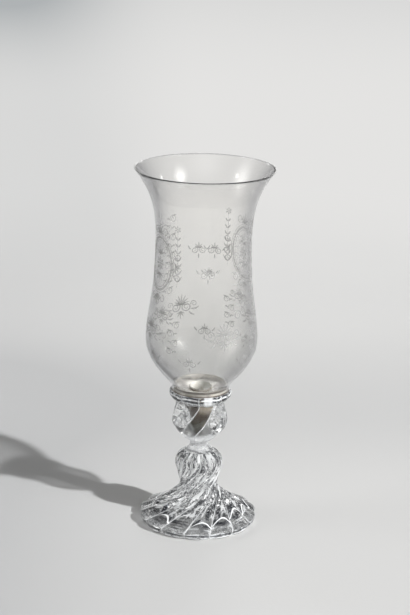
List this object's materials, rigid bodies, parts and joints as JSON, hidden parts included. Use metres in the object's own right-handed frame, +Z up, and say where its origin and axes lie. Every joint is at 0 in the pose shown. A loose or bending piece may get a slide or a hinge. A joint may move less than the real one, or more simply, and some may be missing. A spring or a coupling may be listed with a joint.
{
  "type": "hurricane candlestick",
  "caption": "Twisted crystal candlestick with a silver-plated insert for one candle and a tall flared glass shade that lifts off.",
  "frame": {"origin": "middle of the flat ring under the foot, on the surface it stands on", "axes": "+Z up along the candlestick's axis, -Y towards the viewer of the picture, +X to the right"},
  "size_m": [0.1548, 0.1548, 0.41],
  "materials": {
    "crystal": "clear lead crystal, fire polished, pressed with twisted flutes",
    "shade_glass": "thin clear blown glass with etched frosted scrollwork",
    "silver_plate": "silver plate, polished, slightly warm and hazed"
  },
  "bodies": {
    "candlestick": {"foot_stem": "crystal", "wafer": "crystal", "socket": "crystal"},
    "insert": {"flange_ring": "silver_plate", "drip_dish": "silver_plate", "candle_nozzle": "silver_plate"},
    "shade": {"shade": "shade_glass"}
  },
  "joints": [
    {"name": "insert_lift", "type": "slide", "parent": "candlestick", "child": "insert", "axis": [0, 0, 1], "range_m": [0, 0.055]},
    {"name": "shade_lift", "type": "slide", "parent": "insert", "child": "shade", "axis": [0, 0, 1], "range_m": [0, 0.06]}
  ]
}
